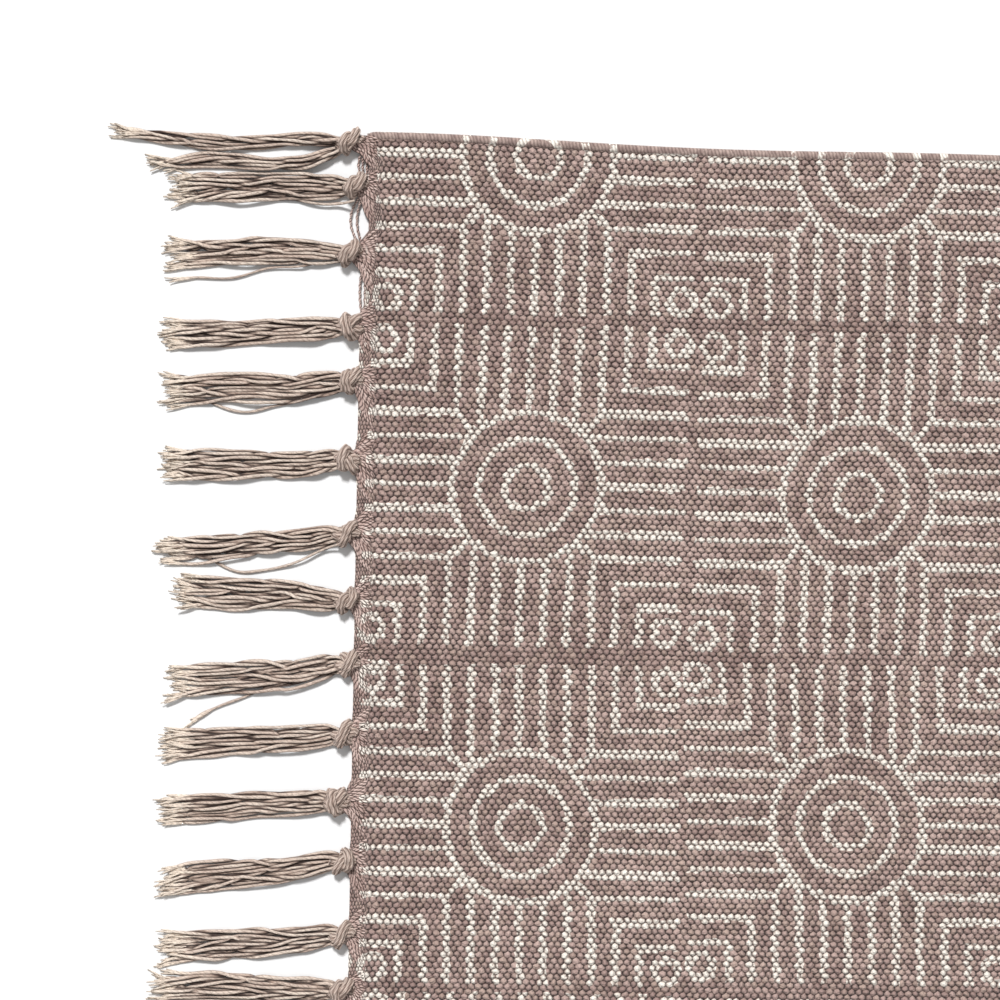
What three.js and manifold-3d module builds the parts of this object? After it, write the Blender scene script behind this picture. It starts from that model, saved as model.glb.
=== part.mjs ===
// Flat-woven cotton rug with a knotted fringe at both ends, in millimetres, +Z up.
// It lies flat: X runs along the warp, Y along the weft, and the underside is the plane z = 0.
// The origin is the middle of the rug, on the floor.
import * as THREE from 'three';
import { mergeVertices } from 'three/addons/utils/BufferGeometryUtils.js';
import Module from 'manifold-3d';

const wasm = await Module();
wasm.setup();

// Cloth
const clothLength = 900;
const clothWidth = 600;
const clothThickness = 2.6;
const edgeRounding = 0.7;
const cornerInset = 1.0; // how far the slab's corners stay back from the full rectangle

// Selvedge: the outermost warps lie in a bundle that the weft wraps. The rug's corners flare, and
// between them the weft draws the selvedge in, in a slow wander.
const selvedgeThickness = 3.3;
const selvedgeSides = 8;
const selvedgeSteps = 20;
const drawnIn = 5.2;
const flareLength = 180;
const wander = 0.8;
const wanderWavelength = 260;

// Ends of the cloth: between two knots the end hangs back in a bay, and at each knot it is drawn
// out into a neck, whose end tucks in under the knot's bulge and stays about 0.3 mm clear of it.
const bayBack = 1.6;
const bayCorners = [0.3, 0.7]; // places of a bay's corners, as shares of its width
const neckHalfWidth = 2.4;
const neckTuck = 0.05;

// Fringe: warp ends tied in overhand knots, which lie against the end of the cloth
const tasselCount = 25;
const firstKnot = 4.2; // from the selvedge's corner to the middle of the first knot
const knotAlong = 7.2;
const knotAcross = 9.8;
const knotHeight = 6.8;
const knotLean = 0.18; // sideways lean of the knot's top, as a share of its height
const knotSegments = 8;
const knotBands = 5;

// Each tassel's yarns lie in locks of three sides, one of them flat on the floor
const locksPerTassel = 4;
const lockSides = 3;
const lockSteps = 2;
const lockStepPower = 1.5; // above 1, it draws the steps towards the knot
const lockHeightAtKnot = 3.6;
const lockHeightAtTip = 2.4;
const lockGap = 0.4;
const lockRoots = 5.2; // how wide the locks spread where they start, inside the knot
const lockRise = 1.2; // how far they start above the floor
const lockStagger = 0.035; // what each lock is shorter than the longest one, as a share
const staggerOrder = [1, 0, 3, 2];

// One row for each tassel, counted from the corner: the distance from the knot before it, how far
// the knot's middle stands out from the cloth's nominal end, the free length beyond that middle,
// the sideways drift of its tip (positive towards the corner) and the width of its tip.
const tassels = [
  { gap: 0.0, out: 7.0, length: 84, drift: 1.4, spread: 9.0 },
  { gap: 16.3, out: 4.6, length: 70, drift: -2.4, spread: 12.4 },
  { gap: 24.8, out: 6.2, length: 69, drift: -1.9, spread: 12.6 },
  { gap: 27.4, out: 5.2, length: 71, drift: -3.8, spread: 9.6 },
  { gap: 20.1, out: 4.6, length: 72, drift: -4.9, spread: 13.4 },
  { gap: 29.1, out: 5.4, length: 71, drift: -2.2, spread: 12.6 },
  { gap: 27.4, out: 5.6, length: 71, drift: -6.6, spread: 10.4 },
  { gap: 24.7, out: 4.8, length: 65, drift: 1.4, spread: 13.0 },
  { gap: 23.4, out: 4.6, length: 68, drift: -7.4, spread: 13.4 },
  { gap: 26.2, out: 4.8, length: 69, drift: -4.6, spread: 11.2 },
  { gap: 24.9, out: 7.2, length: 67, drift: -5.0, spread: 11.2 },
  { gap: 21.9, out: 4.8, length: 69, drift: -8.0, spread: 11.8 },
  { gap: 27.2, out: 4.6, length: 69, drift: -4.2, spread: 12.4 },
  { gap: 20.9, out: 4.4, length: 72, drift: -0.6, spread: 13.2 },
];
const repeatedFrom = 2; // past the table's end its rows come again, from this one on

const cloth = new THREE.MeshStandardMaterial({ color: 0x9b8580, roughness: 0.95, metalness: 0 });
const yarn = new THREE.MeshStandardMaterial({ color: 0xa79488, roughness: 0.95, metalness: 0 });

const { lerp, smoothstep } = THREE.MathUtils;
const weldDistance = 1e-4;

function toSolid(geometry) {
  const bare = geometry.clone();
  bare.deleteAttribute('normal');
  bare.deleteAttribute('uv');
  const merged = mergeVertices(bare, weldDistance);
  return new wasm.Manifold(new wasm.Mesh({
    numProp: 3,
    vertProperties: new Float32Array(merged.attributes.position.array),
    triVerts: new Uint32Array(merged.index.array),
  }));
}

function toGeometry(solid) {
  const mesh = solid.getMesh();
  const geometry = new THREE.BufferGeometry();
  geometry.setAttribute('position', new THREE.BufferAttribute(mesh.vertProperties, 3));
  geometry.setIndex(new THREE.BufferAttribute(mesh.triVerts, 1));
  geometry.computeVertexNormals();
  return geometry;
}

// The tassels of one end, each with the place of its knot across the cloth.
function layOutTassels() {
  const laid = [];
  let across = clothWidth / 2 - firstKnot;
  for (let n = 0; n < tasselCount; n += 1) {
    const again = repeatedFrom + ((n - tassels.length) % (tassels.length - repeatedFrom));
    const row = n < tassels.length ? tassels[n] : tassels[again];
    across -= row.gap;
    laid.push({ ...row, across });
  }
  return laid;
}

// How far the selvedge stands from the rug's centre line, at a place along the rug.
function selvedgeAt(along) {
  const fromEnd = clothLength / 2 - Math.abs(along);
  const settled = smoothstep(fromEnd, 0, flareLength);
  const swing = wander * Math.sin((2 * Math.PI * (along + clothLength / 2)) / wanderWavelength);
  return clothWidth / 2 - settled * (drawnIn + swing);
}

// The +Y selvedge bundle's centre line, from the -X end to the +X end.
function selvedgeLine() {
  const half = clothLength / 2 - cornerInset;
  const points = [];
  for (let n = 0; n <= selvedgeSteps; n += 1) {
    const along = lerp(-half, half, n / selvedgeSteps);
    points.push(new THREE.Vector2(along, selvedgeAt(along) - selvedgeThickness / 2));
  }
  return points;
}

// The cloth's -X end, from the +Y corner to the -Y corner.
function endLine(laid) {
  const points = [];
  const bay = bayBack - clothLength / 2;
  const limit = clothWidth / 2 - cornerInset;
  const reaches = laid.map((t) => knotAlong / 2 - neckTuck - t.out - clothLength / 2);
  laid.forEach((t, n) => {
    const upper = Math.min(t.across + neckHalfWidth, limit);
    const lower = Math.max(t.across - neckHalfWidth, -limit);
    points.push(new THREE.Vector2(reaches[n], upper));
    points.push(new THREE.Vector2(reaches[n], lower));
    if (n + 1 < laid.length) {
      const next = laid[n + 1].across + neckHalfWidth;
      bayCorners.forEach((share) => points.push(new THREE.Vector2(bay, lerp(lower, next, share))));
    }
  });
  return points;
}

// The cloth: one slab with scalloped ends, and along each long side the wrapped selvedge bundle.
function wovenPanel(laid) {
  const end = endLine(laid);
  const side = selvedgeLine();
  const halfTurned = (points) => points.map((p) => new THREE.Vector2(-p.x, -p.y));
  const sideBack = [...side].reverse();
  const outline = [...end, ...halfTurned(sideBack), ...halfTurned(end), ...sideBack];
  const slab = new THREE.ExtrudeGeometry(new THREE.Shape(outline), {
    depth: clothThickness - 2 * edgeRounding,
    bevelThickness: edgeRounding,
    bevelSize: edgeRounding,
    bevelOffset: -edgeRounding,
    bevelSegments: 1,
  });
  slab.translate(0, 0, edgeRounding);

  const radius = selvedgeThickness / 2;
  const cornerRadius = radius / Math.cos(Math.PI / selvedgeSides);
  const section = [];
  for (let n = 0; n < selvedgeSides; n += 1) {
    const angle = ((n + 0.5) * 2 * Math.PI) / selvedgeSides;
    section.push(new THREE.Vector2(Math.cos(angle), Math.sin(angle)).multiplyScalar(cornerRadius));
  }
  const bundle = new THREE.ExtrudeGeometry(new THREE.Shape(section), {
    steps: selvedgeSteps,
    extrudePath: new THREE.CatmullRomCurve3(side.map((p) => new THREE.Vector3(p.x, p.y, radius))),
    bevelEnabled: false,
  });
  const otherBundle = bundle.clone().rotateZ(Math.PI);
  return toGeometry(toSolid(slab).add(toSolid(bundle)).add(toSolid(otherBundle)));
}

// An overhand knot on its side: a lump wider across the tassel than along it, leaning a little.
function knotLump(lean) {
  const lump = new THREE.SphereGeometry(1, knotSegments, knotBands);
  lump.rotateX(Math.PI / 2);
  const position = lump.attributes.position;
  for (let v = 0; v < position.count; v += 1) {
    position.setY(v, position.getY(v) + lean * position.getZ(v));
  }
  lump.scale(knotAlong / 2, knotAcross / 2, knotHeight / 2);
  lump.translate(0, 0, knotHeight / 2);
  return lump;
}

// A lock of yarns from inside the knot to its cut end. It spreads from its neighbours and drifts
// sideways with the tassel, and past the knot it lies on the floor on one flat side.
function lock(tassel, n) {
  const place = (2 * n) / (locksPerTassel - 1) - 1;
  const reach = tassel.length * (1 - lockStagger * staggerOrder[n]);
  const geometry = new THREE.CylinderGeometry(1, 1, 1, lockSides, lockSteps);
  const position = geometry.attributes.position;
  const halfBase = Math.sin(Math.PI / lockSides);
  const lowest = Math.cos(Math.PI / lockSides);
  for (let v = 0; v < position.count; v += 1) {
    const share = (0.5 - position.getY(v)) ** lockStepPower;
    const spread = lerp(lockRoots, tassel.spread, Math.sqrt(share));
    const width = spread / locksPerTassel - lockGap;
    const height = lerp(lockHeightAtKnot, lockHeightAtTip, share);
    const rise = share === 0 ? lockRise : 0;
    const centre = (place * (spread - width)) / 2 + tassel.drift * share;
    const sideways = (position.getX(v) / halfBase) * (width / 2);
    const up = ((position.getZ(v) + lowest) / (1 + lowest)) * height;
    position.setXYZ(v, -share * reach, centre - sideways, rise + up);
  }
  return geometry;
}

function tasselGeometry(tassel, lean) {
  let solid = toSolid(knotLump(lean));
  for (let n = 0; n < locksPerTassel; n += 1) solid = solid.add(toSolid(lock(tassel, n)));
  return toGeometry(solid);
}

const laid = layOutTassels();
const rug = new THREE.Group();

const panel = new THREE.Mesh(wovenPanel(laid), cloth);
panel.name = 'woven_panel';
rug.add(panel);

// The left end is the one at -X. The right end carries the same fringe, turned half round.
for (const [endName, turn] of [['left', 0], ['right', Math.PI]]) {
  const end = new THREE.Group();
  end.rotation.z = turn;
  laid.forEach((row, n) => {
    const lean = n % 2 === 0 ? knotLean : -knotLean;
    const tassel = new THREE.Mesh(tasselGeometry(row, lean), yarn);
    tassel.name = `tassel_${endName}_${String(n + 1).padStart(2, '0')}`;
    tassel.position.set(-(clothLength / 2 + row.out), row.across, 0);
    end.add(tassel);
  });
  rug.add(end);
}

export default rug;
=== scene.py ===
import math

import bpy
import numpy as np
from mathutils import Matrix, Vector


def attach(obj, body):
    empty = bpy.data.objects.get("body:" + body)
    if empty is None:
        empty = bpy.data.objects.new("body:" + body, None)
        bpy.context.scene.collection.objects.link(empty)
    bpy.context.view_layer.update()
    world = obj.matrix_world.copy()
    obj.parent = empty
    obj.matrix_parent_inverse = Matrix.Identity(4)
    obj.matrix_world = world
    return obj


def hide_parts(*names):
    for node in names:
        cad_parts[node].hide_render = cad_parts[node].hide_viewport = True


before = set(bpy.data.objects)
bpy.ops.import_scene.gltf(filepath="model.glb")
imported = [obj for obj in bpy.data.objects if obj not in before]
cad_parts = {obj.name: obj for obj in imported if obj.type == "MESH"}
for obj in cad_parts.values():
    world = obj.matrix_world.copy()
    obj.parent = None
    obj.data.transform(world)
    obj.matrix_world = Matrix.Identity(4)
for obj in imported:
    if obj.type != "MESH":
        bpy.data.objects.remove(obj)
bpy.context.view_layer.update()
MM = 0.001

# The cloth is one flat-woven cotton piece. Thick plied warps run along X and cover a hidden weft,
# so the face is rows of beads, one bead for each float of a warp over the weft.
# At the two short ends a thin weft packs the floats closer, and the warps lean towards the knots.
CLOTH_LENGTH = 900 * MM
CLOTH_WIDTH = 600 * MM
CLOTH_THICKNESS = 2.6 * MM
SELVEDGE_THICKNESS = 3.3 * MM
DRAWN_IN = 5.2 * MM
FLARE_LENGTH = 180 * MM
WANDER = 0.8 * MM
WANDER_WAVELENGTH = 260 * MM
# How many millimetres the cloth reaches out between two knots, and the bays where it draws in
BAY_REACH = 0.7
OPEN_BAYS = {0: -1.9, 1: -2.0, 2: -1.2}
NECK_HALF_WIDTH = 2.4 * MM
BAY_SHOULDER = 0.3
WARP_PITCH = 1.97 * MM
FLOAT_PITCH = 2.655 * MM
# How closely a heading packs the floats, and how many millimetres into it the thin weft starts
HEADING = 8 * MM
HEADING_PACKED = 0.28
THIN_WEFT_FROM = 2.2
# One small hollow beside the ninth knot, in metres, and the slow swell of the whole cloth
PUCKER_PLACE = (0.4455, 0.1056)
PUCKER_SIZE = (0.0028, 0.0019)
PUCKER_DEPTH = 1.7 * MM
SWELL = 0.22 * MM

# Each row is a tassel, counted from the corner: the distance from the knot before it, how far its
# knot stands out, its free length, how far it dips beside its knot, the drift and width of its tip,
# its yarns, and the turn of its knot about the warp. They repeat past the end, as on the solids.
KNOT_ALONG = 7.2 * MM
KNOT_ACROSS = 9.8 * MM
KNOT_HEIGHT = 6.8 * MM
FIRST_KNOT = 4.2
TASSEL_MARKS = ("gap", "out", "length", "dip", "drift", "spread", "yarns", "turned")
TASSELS = [
    (0.0, 7.0, 84, 0.0, 1.4, 9.0, 12, 160),
    (16.3, 4.6, 70, 0.0, -2.4, 12.4, 13, 160),
    (24.8, 6.2, 69, 1.0, -2.9, 12.6, 12, 180),
    (27.4, 5.2, 71, -1.4, -2.6, 9.6, 12, 80),
    (20.1, 4.6, 72, -2.2, -2.7, 13.4, 12, 120),
    (29.1, 5.4, 71, -2.3, -0.4, 12.6, 13, 250),
    (27.4, 5.6, 71, -2.8, -5.4, 10.4, 12, 10),
    (24.7, 4.8, 65, 1.0, 1.6, 13.0, 13, 180),
    (23.4, 4.6, 68, -4.0, -5.2, 15.4, 12, 50),
    (26.2, 4.8, 69, -1.0, -4.6, 11.2, 12, 310),
    (24.9, 7.2, 67, -0.6, -4.6, 11.2, 12, 100),
    (21.9, 4.8, 69, -2.2, -7.5, 11.8, 12, 220),
    (27.2, 4.6, 69, -2.6, -4.0, 12.4, 13, 345),
    (20.9, 4.4, 72, 0.0, -0.6, 13.2, 12, 140),
]
TASSEL_COUNT = 25
REPEATED_FROM = 2

laid = []
across = CLOTH_WIDTH / 2 - FIRST_KNOT * MM
for n in range(TASSEL_COUNT):
    again = REPEATED_FROM + (n - len(TASSELS)) % (len(TASSELS) - REPEATED_FROM)
    row = dict(zip(TASSEL_MARKS, TASSELS[n if n < len(TASSELS) else again]))
    # All but the yarns and the turn are lengths in millimetres
    for mark in TASSEL_MARKS[:-2]:
        row[mark] *= MM
    across -= row["gap"]
    laid.append(dict(row, across=across))
knot_places = np.array([row["across"] for row in laid])
neck_reaches = np.array([row["out"] - KNOT_ALONG / 2 for row in laid])


def smooth(share):
    """A soft step: 0 up to a share of 0, and 1 from a share of 1."""
    share = np.clip(share, 0, 1)
    return share * share * (3 - 2 * share)


def selvedge_at(along):
    """How far the +Y selvedge stands from the rug's centre line, at places along the rug."""
    settled = smooth((CLOTH_LENGTH / 2 - np.abs(along)) / FLARE_LENGTH)
    phase = 2 * math.pi * (along + CLOTH_LENGTH / 2) / WANDER_WAVELENGTH
    return CLOTH_WIDTH / 2 - settled * (DRAWN_IN + WANDER * np.sin(phase))


def end_reach(y):
    """How far the -X end of the cloth stands past its nominal line, at places across the rug."""
    corners = []
    for n in range(TASSEL_COUNT):
        for side in (1, -1):
            corners.append((knot_places[n] + side * NECK_HALF_WIDTH, neck_reaches[n]))
        if n + 1 < TASSEL_COUNT:
            upper = knot_places[n] - NECK_HALF_WIDTH
            lower = knot_places[n + 1] + NECK_HALF_WIDTH
            for share in (BAY_SHOULDER, 1 - BAY_SHOULDER):
                corners.append((upper + (lower - upper) * share, OPEN_BAYS.get(n, BAY_REACH) * MM))
    return np.interp(y, *np.array(sorted(corners)).T)


def gather(y):
    """Which way and how strongly the warps lean towards their knot, at places across the rug."""
    nearest = np.abs(y[:, None] - knot_places[None, :]).argmin(axis=1)
    borders = (knot_places[:-1] + knot_places[1:]) / 2
    upper = np.concatenate([[CLOTH_WIDTH / 2], borders])[nearest]
    lower = np.concatenate([borders, [-CLOTH_WIDTH / 2]])[nearest]
    from_knot = y - knot_places[nearest]
    half = np.where(from_knot > 0, upper - knot_places[nearest], knot_places[nearest] - lower)
    return np.sin(np.pi * np.clip(from_knot / np.maximum(half, MM), -1, 1)) * half


def pucker(x, y):
    """How deep the cloth is drawn in beside the ninth knot of either end."""
    (place_x, place_y), (size_x, size_y) = PUCKER_PLACE, PUCKER_SIZE
    near = ((x + place_x) / size_x) ** 2 + ((y - place_y) / size_y) ** 2
    far = ((x - place_x) / size_x) ** 2 + ((y + place_y) / size_y) ** 2
    return PUCKER_DEPTH * (np.exp(-near) + np.exp(-far))


def swell(x, y):
    """The cloth's slow unevenness: it lies a fraction of a millimetre off flat here and there."""
    waves = np.sin(x / 0.041 + 1.3) * np.sin(y / 0.037 + 0.4)
    waves = waves + 0.6 * np.sin(x / 0.019 + y / 0.05) * np.sin(y / 0.023 + 2.0)
    return SWELL * waves - pucker(x, y)


def join_mesh(name, parts, materials):
    """One object from parts, each with its points, its quads, their corners' UVs and a material."""
    starts = np.cumsum([0] + [len(part["points"]) for part in parts])
    faces = np.concatenate([part["faces"] + start for part, start in zip(parts, starts)])
    indices = [np.full(len(part["faces"]), part.get("material", 0)) for part in parts]
    points = np.concatenate([part["points"] for part in parts])
    mesh = bpy.data.meshes.new(name)
    mesh.from_pydata(points.tolist(), [], faces.tolist())
    uv = np.concatenate([part["uv"] for part in parts])
    mesh.uv_layers.new(name="UVMap").data.foreach_set("uv", uv.astype(np.float32).ravel())
    if "yarn" in parts[0]:
        marks = np.concatenate([part["yarn"] for part in parts])
        marks = np.column_stack([marks, np.ones(len(marks))]).astype(np.float32)
        mesh.attributes.new("yarn", "FLOAT_COLOR", "POINT").data.foreach_set("color", marks.ravel())
    for material in materials:
        mesh.materials.append(material)
    mesh.polygons.foreach_set("material_index", np.concatenate(indices).astype(np.int32))
    mesh.polygons.foreach_set("use_smooth", np.ones(len(faces), dtype=bool))
    mesh.update()
    piece = bpy.data.objects.new(name, mesh)
    bpy.context.scene.collection.objects.link(piece)
    return piece


def operation(kind):
    """A method that works out one kind of sum on a field."""
    return lambda self, *others: self.math(kind, *others)


class Field:
    """A value or colour that varies over a surface: a shader socket with arithmetic."""

    def __init__(self, tree, socket=None):
        self.tree = tree
        self.socket = socket

    def node(self, kind, settings=None, sockets=None, output=0):
        made = self.tree.nodes.new("ShaderNode" + kind)
        for name, value in (settings or {}).items():
            if name == "stops":
                elements = made.color_ramp.elements
                elements.remove(elements[1])
                elements[0].position, elements[0].color = value[0]
                for position, colour in value[1:]:
                    elements.new(position).color = colour
            elif name == "interpolation":
                made.color_ramp.interpolation = value
            else:
                setattr(made, name, value)
        for name, value in (sockets or {}).items():
            if isinstance(value, Field):
                self.tree.links.new(value.socket, made.inputs[name])
            else:
                made.inputs[name].default_value = value
        return Field(self.tree, made.outputs[output])

    def math(self, operation, *others):
        return self.node("Math", {"operation": operation}, dict(enumerate((self, *others))))

    __add__ = __radd__ = operation("ADD")
    __sub__ = operation("SUBTRACT")
    __mul__ = __rmul__ = operation("MULTIPLY")
    __truediv__ = operation("DIVIDE")
    __mod__ = operation("FLOORED_MODULO")
    __pow__ = operation("POWER")
    __abs__ = operation("ABSOLUTE")
    floor = operation("FLOOR")
    root = operation("SQRT")
    sine = operation("SINE")
    least = operation("MINIMUM")
    most = operation("MAXIMUM")
    over = operation("GREATER_THAN")

    def __rsub__(self, other):
        return self.node("Math", {"operation": "SUBTRACT"}, {0: other, 1: self})

    def ramp(self, low, high):
        """0 below low and 1 above high, with a soft step between."""
        return self.node(
            "MapRange",
            {"interpolation_type": "SMOOTHSTEP"},
            {"Value": self, "From Min": low, "From Max": high},
        )

    def noise(self, vector, scale, detail, roughness, flat=False, output=0):
        """Soft noise over a vector, in space or in the plane. Output 1 is three noises at once."""
        return self.node(
            "TexNoise",
            {"noise_dimensions": "2D" if flat else "3D"},
            {"Vector": vector, "Scale": scale, "Detail": detail, "Roughness": roughness},
            output,
        )

    def place(self):
        """The place on the object in metres."""
        return self.node("TexCoord", {}, {}, output=3)

    def parts(self):
        split = self.node("SeparateXYZ", {}, {"Vector": self})
        return [Field(self.tree, split.socket.node.outputs[n]) for n in range(3)]

    def vector(self, x, y, z=0.0):
        return self.node("CombineXYZ", {}, {"X": x, "Y": y, "Z": z})

    def mix(self, first, second):
        """A blend of two colours by this share."""
        made = self.tree.nodes.new("ShaderNodeMix")
        made.data_type = "RGBA"
        for socket, value in ((made.inputs[0], self), (made.inputs[6], first), (made.inputs[7], second)):
            if isinstance(value, Field):
                self.tree.links.new(value.socket, socket)
            else:
                socket.default_value = value
        return Field(self.tree, made.outputs[2])


def colour(red, green, blue):
    """A shader colour from the 0 to 255 values in which a dyer's chart gives it."""
    linear = []
    for value in (red, green, blue):
        share = value / 255
        linear.append(share / 12.92 if share <= 0.04045 else ((share + 0.055) / 1.055) ** 2.4)
    return (*linear, 1.0)


def finish(name, shade, roughness):
    """A new matt fibre material. shade() builds its colour, its relief and the relief's depth."""
    material = bpy.data.materials.new(name)
    material.use_nodes = True
    tree = material.node_tree
    shader = tree.nodes["Principled BSDF"]
    base, relief, depth = shade(Field(tree))
    tree.links.new(base.socket, shader.inputs["Base Color"])
    bump = base.node("Bump", {}, {"Height": relief, "Distance": depth, "Strength": 1.0})
    tree.links.new(bump.socket, shader.inputs["Normal"])
    shader.inputs["Roughness"].default_value = roughness
    shader.inputs["Specular IOR Level"].default_value = 0.25
    shader.inputs["Sheen Weight"].default_value = 0.12
    shader.inputs["Sheen Roughness"].default_value = 0.6
    return material


# The print is stamped by hand with one square block, dusty mauve on undyed cotton: the ink covers
# the ground, and the lines stay bare. Three rings stand in the block's middle, bars run from them
# to its four sides and turn into nested corners, and each corner holds one small ring.
BLOCK_ACROSS = (122.0, 123.2)
FIRST_BLOCK = (-387.1, 291.3)
RINGS = (8.1, 17.9, 27.8)
BAR_PITCH = 8.93
BARS = 5
BAR_CENTRE = (-0.6, 0.63)
BLOCK_REACH = 59.3
CORNER_RING = (54.6, 53.5)
CORNER_RING_RADIUS = 4.4
DIAGONAL_REACH = 38.0
LINE_HALF_WIDTH = 1.42
# How far a row of stamps slipped along the cloth, and its skew in millimetres for 100 of height
ROW_SLIPS = [(2.0, 0.0, 0.0), (0.0, 2.6, 0.0), (-1.2, -2.5, 0.0)]
# How far each stamp of a group of two by three slipped in its row, along and across, and its skew
SLIPS = [
    (-0.25, 0.2, 0.0), (0.2, -0.4, 0.0),
    (-0.6, 0.9, 0.4), (0.2, -0.15, -0.3),
    (0.6, -1.75, 0.9), (-0.4, 0.9, -1.0),
]
SLIP_RANGE = 8.0
# Where the cloth was puckered under the block, the ink missed a patch of it
MISSED_PLACE = (-442.3, 101.2)
MISSED_SIZE = (5.0, 3.3)
THICK_INK_FROM = 375
# The print is charted in millimetres, and places on the object come in metres
TO_MM = 1000
CENTRE_SHARE = 0.68

MAUVE = colour(204, 177, 168)
MAUVE_DEEP = colour(160, 133, 126)
MAUVE_GREY = colour(186, 164, 148)
CREAM = colour(255, 247, 236)
# Bare cotton, and its darker colour for random tone and for painted shade towards each bead's edge
CREAM_TONE_AND_PAINTED_SHADE = colour(214, 190, 174)
# Painted shade for the gaps between beads, and for the edges around them
PAINTED_GAP_SHADE = colour(46, 25, 21)
PAINTED_GAP_SHADE_EDGE = colour(122, 88, 79)
BACK_COTTON = colour(226, 212, 200)
BACK_STAINED = colour(200, 182, 172)
# Painted shade in the gaps between beads on the underside
BACK_PAINTED_GAP_SHADE = colour(120, 102, 92)


def bead_distance(x, y):
    """How far a place is from a bead's middle: 1 at its edge. The float leans down to the right."""
    along_lean = x * 0.62 - y * 0.78
    across_lean = x * 0.78 + y * 0.62
    return ((along_lean / 1.30) ** 2 + (across_lean / 1.10) ** 2).root()


def weave(field):
    """The beads of the weave: place in the nearest bead, its random numbers, and its relief."""
    u, v, _ = field.node("UVMap", {"uv_map": "UVMap"}).parts()
    along = u * (CLOTH_LENGTH / MM)
    up = v * (CLOTH_WIDTH / MM)
    in_plane = field.vector(along, up)
    drift_x, drift_y, _ = field.noise(in_plane, 0.06, 2.0, 0.55, flat=True, output=1).parts()
    jolt_x, jolt_y, _ = field.noise(in_plane, 0.42, 1.0, 0.5, flat=True, output=1).parts()
    heading = HEADING / MM
    beyond = (along - (CLOTH_LENGTH / MM - heading)).most(0)
    packed = along + (beyond - (heading - along).most(0)) * HEADING_PACKED
    pitch_x, pitch_y = FLOAT_PITCH / MM, WARP_PITCH / MM
    # The thin weft of the last few millimetres makes beads half as long and closer set
    finer = beyond.most(heading - along).over(THIN_WEFT_FROM)
    column_place = packed / pitch_x + (drift_x - 0.5) * 0.9 + (jolt_x - 0.5) * 0.26
    row_place = up / pitch_y + (drift_y - 0.5) * 0.6 + (jolt_y - 0.5) * 0.26
    column_place = column_place * (finer + 1)
    row_place = row_place * (finer * 0.7 + 1)

    # Even and odd rows are two staggered sets of beads, and the nearer bead shows
    even_column = (column_place + 0.5).floor()
    even_row = (row_place / 2 + 0.5).floor() * 2
    odd_column = column_place.floor() + 0.5
    odd_row = (row_place / 2).floor() * 2 + 1
    even_x = (column_place - even_column) * pitch_x
    even_y = (row_place - even_row) * pitch_y
    odd_x = (column_place - odd_column) * pitch_x
    odd_y = (row_place - odd_row) * pitch_y
    even_away = bead_distance(even_x, even_y)
    odd_away = bead_distance(odd_x, odd_y)
    odd = even_away.over(odd_away)
    in_x = (even_x + (odd_x - even_x) * odd) / (finer + 1)
    in_y = (even_y + (odd_y - even_y) * odd) / (finer * 0.7 + 1)
    column = even_column + (odd_column - even_column) * odd
    row = even_row + (odd_row - even_row) * odd
    bead_place = {"Vector": field.vector(column, row)}
    chances = field.node("TexWhiteNoise", {"noise_dimensions": "2D"}, bead_place, output=1).parts()
    grain = field.noise(in_plane, 1.3, 1.0, 0.5, flat=True)
    away = even_away.least(odd_away) * (0.86 + chances[0] * 0.2) + (grain - 0.5) * 0.5
    bead = (1 - away * away * 0.7).most(0.03) ** 0.7 + (1 - away).most(0) * 0.35
    bead = bead * (1 - finer * 0.4)
    return (along, up), (in_x, in_y), chances, away, bead


def slipped(field, rows, place):
    """The three numbers in one row of a table of slips, for a row counted from 0."""
    stops = []
    for n, numbers in enumerate(rows):
        shown = [number / SLIP_RANGE + 0.5 for number in numbers]
        stops.append((n / len(rows), (*shown, 1.0)))
    steps = {"interpolation": "CONSTANT", "stops": stops}
    found = field.node("ValToRGB", steps, {"Fac": (place + 0.5) / len(rows)})
    return [(part - 0.5) * SLIP_RANGE for part in found.parts()]


def printed_lines(field, x, y, chance):
    """1 where the block left the cotton bare, at a place on the cloth in millimetres."""
    row_place = (FIRST_BLOCK[1] - y) / BLOCK_ACROSS[1] + 0.5
    row = row_place.floor()
    in_y = (0.5 - row_place + row) * BLOCK_ACROSS[1]
    row_slip, row_skew, _ = slipped(field, ROW_SLIPS, row % 3)
    column_place = (x - FIRST_BLOCK[0] - row_slip - in_y * row_skew / 100) / BLOCK_ACROSS[0] + 0.5
    column = column_place.floor()
    slip_x, slip_y, skew = slipped(field, SLIPS, column % 2 + row % 3 * 2)
    in_y = in_y - slip_y
    in_x = (column_place - column - 0.5) * BLOCK_ACROSS[0] - slip_x - in_y * skew / 100
    from_middle = (in_x * in_x + in_y * in_y).root()
    nearest = abs(from_middle - RINGS[0])
    for radius in RINGS[1:]:
        nearest = nearest.least(abs(from_middle - radius))
    bar_x = abs(in_x - BAR_CENTRE[0])
    bar_y = abs(in_y - BAR_CENTRE[1])
    nearer = bar_x.least(bar_y)
    farther = bar_x.most(bar_y)
    bar = nearer / BAR_PITCH
    count = (bar + 0.5).floor().least(BARS)
    off_bar = abs(bar - count) * BAR_PITCH
    inside_rings = 1 - from_middle.over(RINGS[-1])
    off_bar = off_bar + inside_rings * BLOCK_REACH + (farther - BLOCK_REACH).over(0) * BLOCK_REACH
    nearest = nearest.least(off_bar)
    off_diagonal = abs(bar_x - bar_y) * math.sqrt(0.5)
    off_diagonal = off_diagonal + from_middle.over(DIAGONAL_REACH) * BLOCK_REACH
    off_diagonal = off_diagonal + inside_rings * BLOCK_REACH
    nearest = nearest.least(off_diagonal)
    corner_x = bar_x - CORNER_RING[0]
    corner_y = bar_y - CORNER_RING[1]
    off_corner = abs((corner_x * corner_x + corner_y * corner_y).root() - CORNER_RING_RADIUS)
    nearest = nearest.least(off_corner)
    return 1 - (nearest + (chance - 0.5) * 0.5).over(LINE_HALF_WIDTH)


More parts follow.
